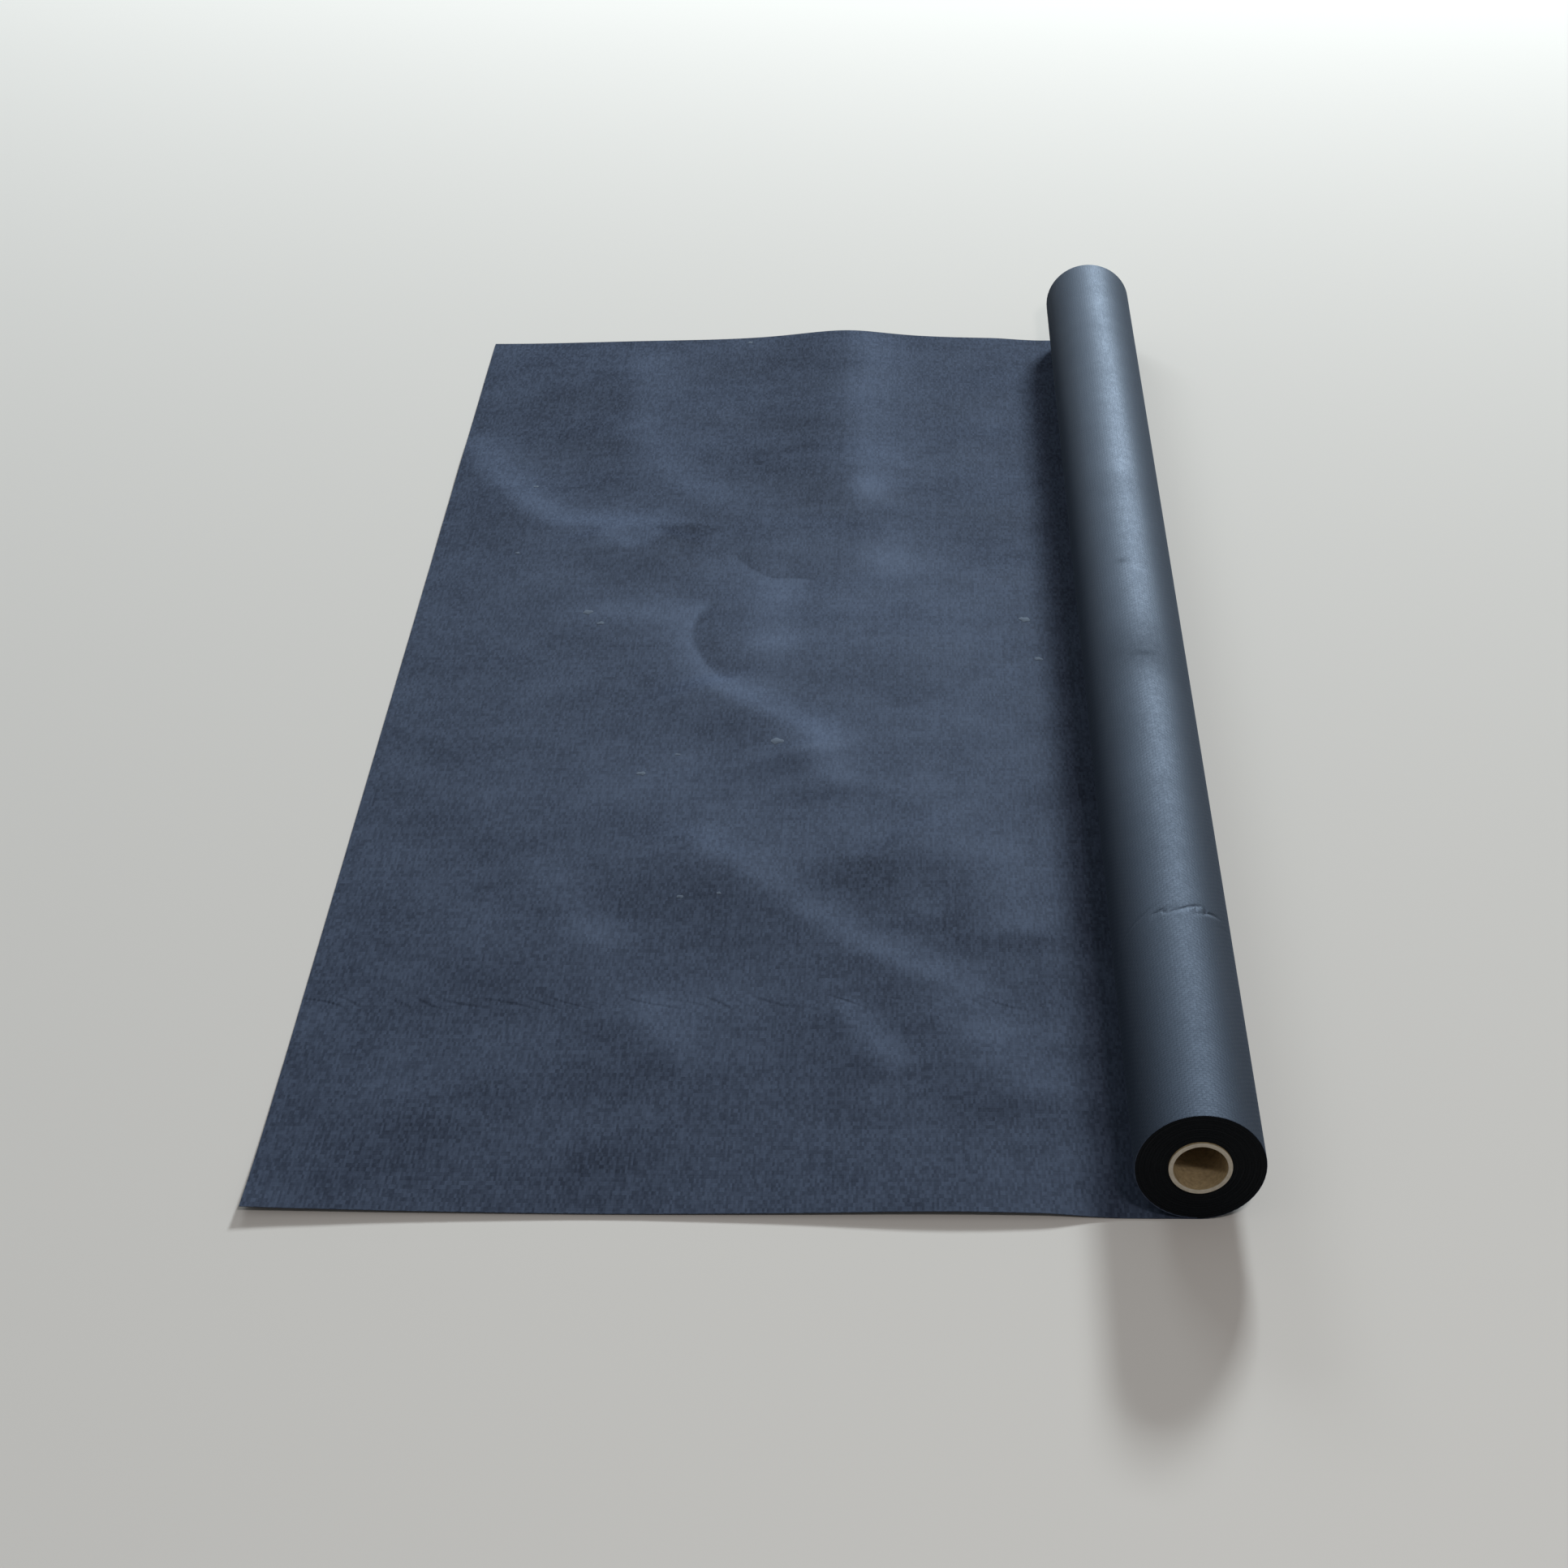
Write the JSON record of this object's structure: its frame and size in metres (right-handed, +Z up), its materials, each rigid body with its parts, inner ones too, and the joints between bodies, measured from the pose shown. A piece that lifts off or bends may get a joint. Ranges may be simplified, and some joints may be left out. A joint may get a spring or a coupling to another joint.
{
  "type": "roll of landscape fabric",
  "caption": "Roll of dark woven landscape fabric on a cardboard core, lying on the ground with its first length unrolled beside it, for covering soil against weeds.",
  "frame": {"origin": "on the floor, under the middle of the whole part", "axes": "+Y along the core's axis, +Z up from the floor, +X from the cut edge of the unrolled length towards the roll"},
  "size_m": [0.722, 1.527, 0.0919],
  "materials": {
    "kraft_cardboard": "uncoated spiral-wound kraft board, sawn ends",
    "woven_polypropylene": "dark woven flat tapes with a satin sheen"
  },
  "bodies": {
    "root": {"core_tube": "kraft_cardboard", "landscape_fabric": "woven_polypropylene"}
  },
  "joints": []
}
